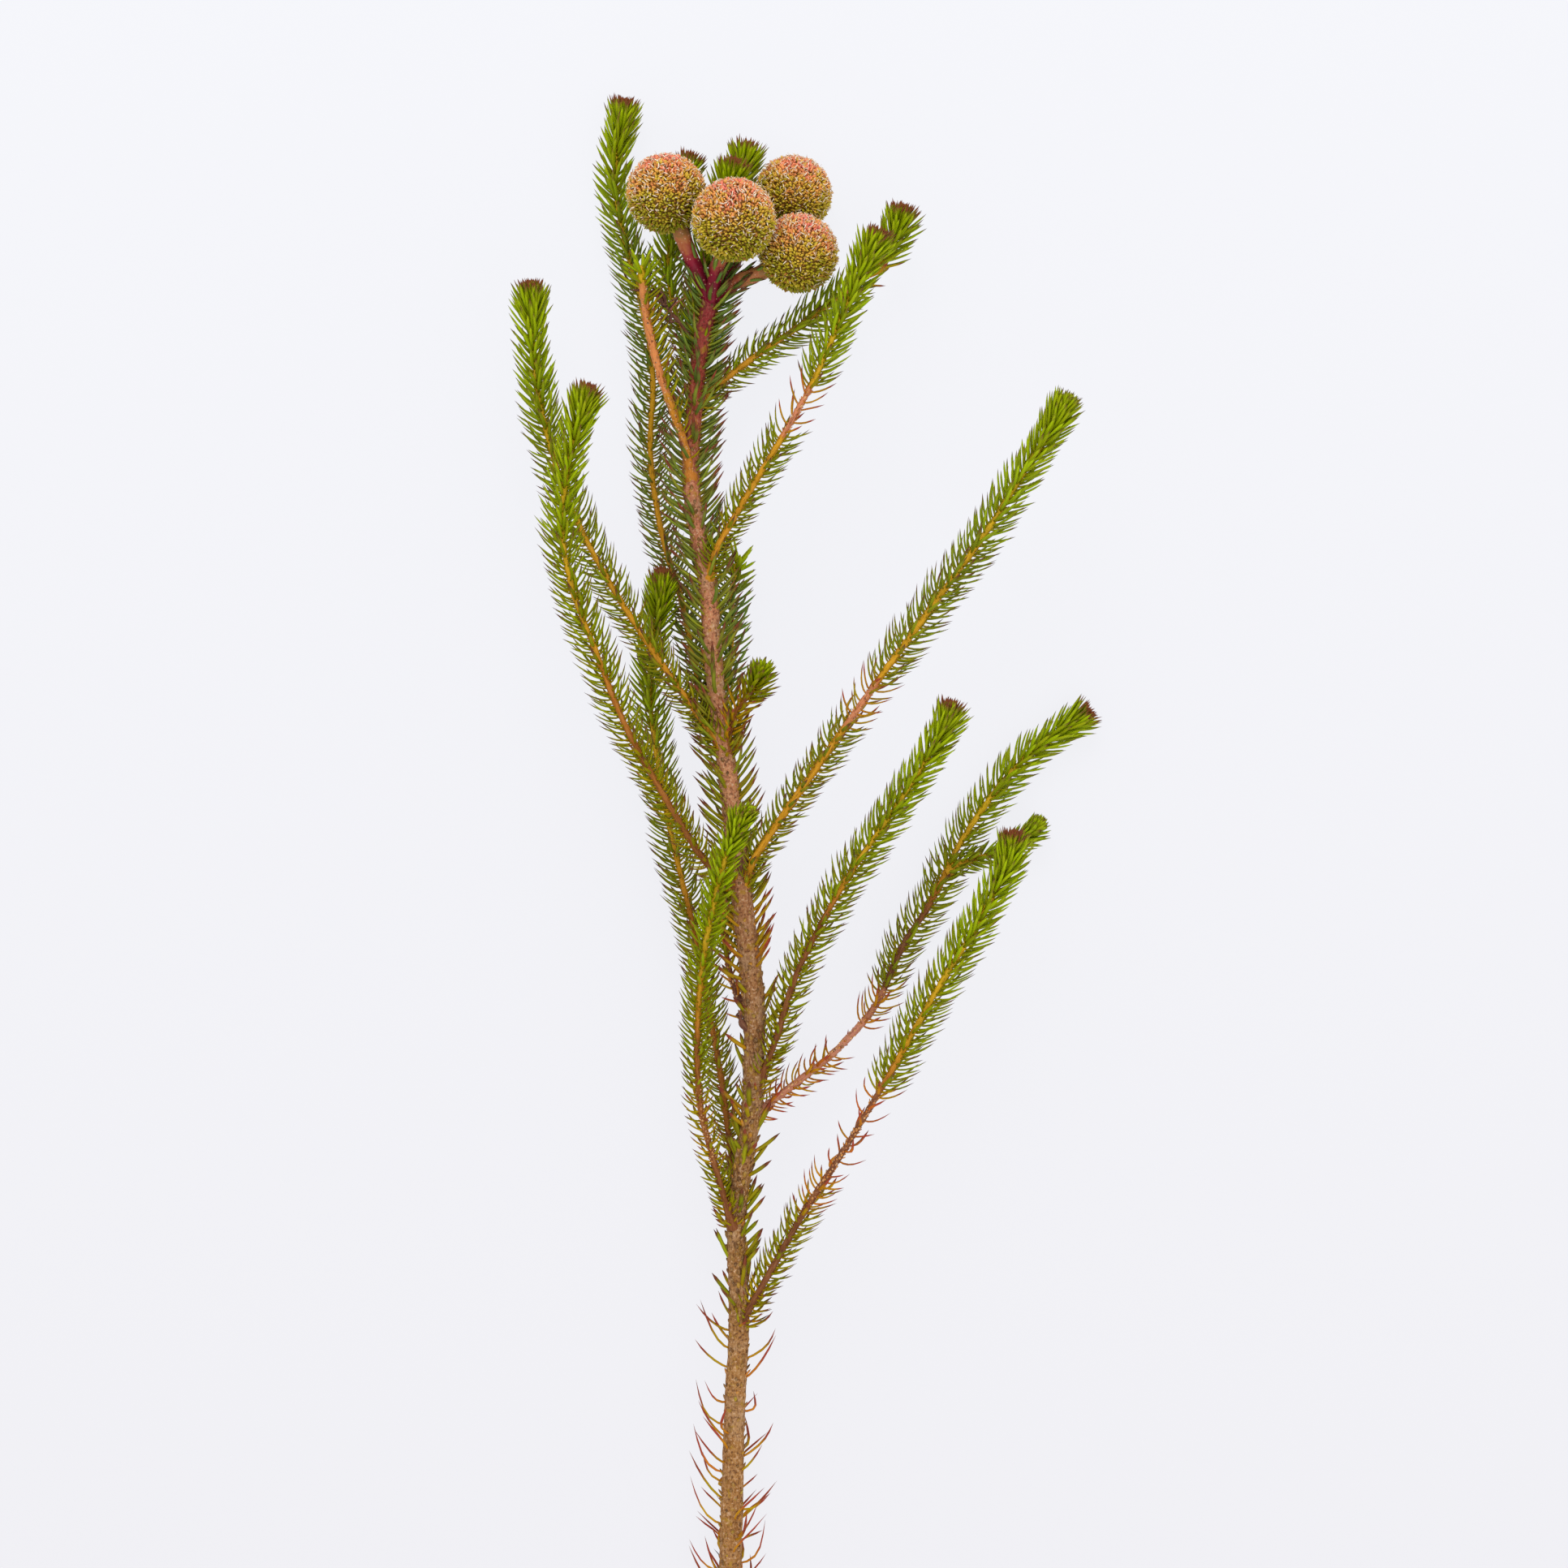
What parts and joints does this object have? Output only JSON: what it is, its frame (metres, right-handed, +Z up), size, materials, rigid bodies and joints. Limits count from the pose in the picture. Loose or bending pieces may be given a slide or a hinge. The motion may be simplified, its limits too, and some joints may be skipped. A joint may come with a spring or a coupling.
{
  "type": "berzelia stem",
  "caption": "Cut berzelia stem lying on its side: a woody branch with needle-leaved shoots and round knobbly flower heads in coral pink and olive green on crimson stalks.",
  "frame": {"origin": "on the surface that the branch lies on, under the middle of its bounding box", "axes": "+Y along the branch from the cut end to the flower heads, +Z up, away from the surface, and +X to the right of the branch as the picture shows it"},
  "size_m": [0.1303, 0.404, 0.0483],
  "materials": {
    "bark": "rough brown bark, pink-grey in places, with red and green needle leaves",
    "leaves": "satin green needle leaves on thin orange-brown twigs",
    "flower_heads": "matte knobbly florets, coral pink above and olive green below",
    "stalks": "smooth fleshy crimson with a soft sheen"
  },
  "bodies": {
    "root": {"main_stem": "bark", "head_left": "flower_heads", "head_front": "flower_heads", "head_back": "flower_heads", "head_right": "flower_heads", "stalk_left": "stalks", "stalk_front": "stalks", "stalk_back": "stalks", "stalk_right": "stalks", "shoot_centre_front": "leaves", "shoot_left_front": "leaves", "shoot_left_outer": "leaves", "shoot_right_upper": "leaves", "shoot_right_middle": "leaves", "shoot_right_lower": "leaves", "shoot_right_forked": "leaves", "shoot_right_top_front": "leaves", "shoot_right_top_back": "leaves", "shoot_left_back": "leaves", "shoot_left_tall": "leaves", "shoot_left_bare": "leaves", "shoot_top_left": "leaves", "shoot_top_back": "leaves", "shoot_top_front": "leaves", "shoot_inner_right": "leaves", "shoot_inner_back": "leaves", "shoot_centre_short": "leaves"}
  },
  "joints": []
}
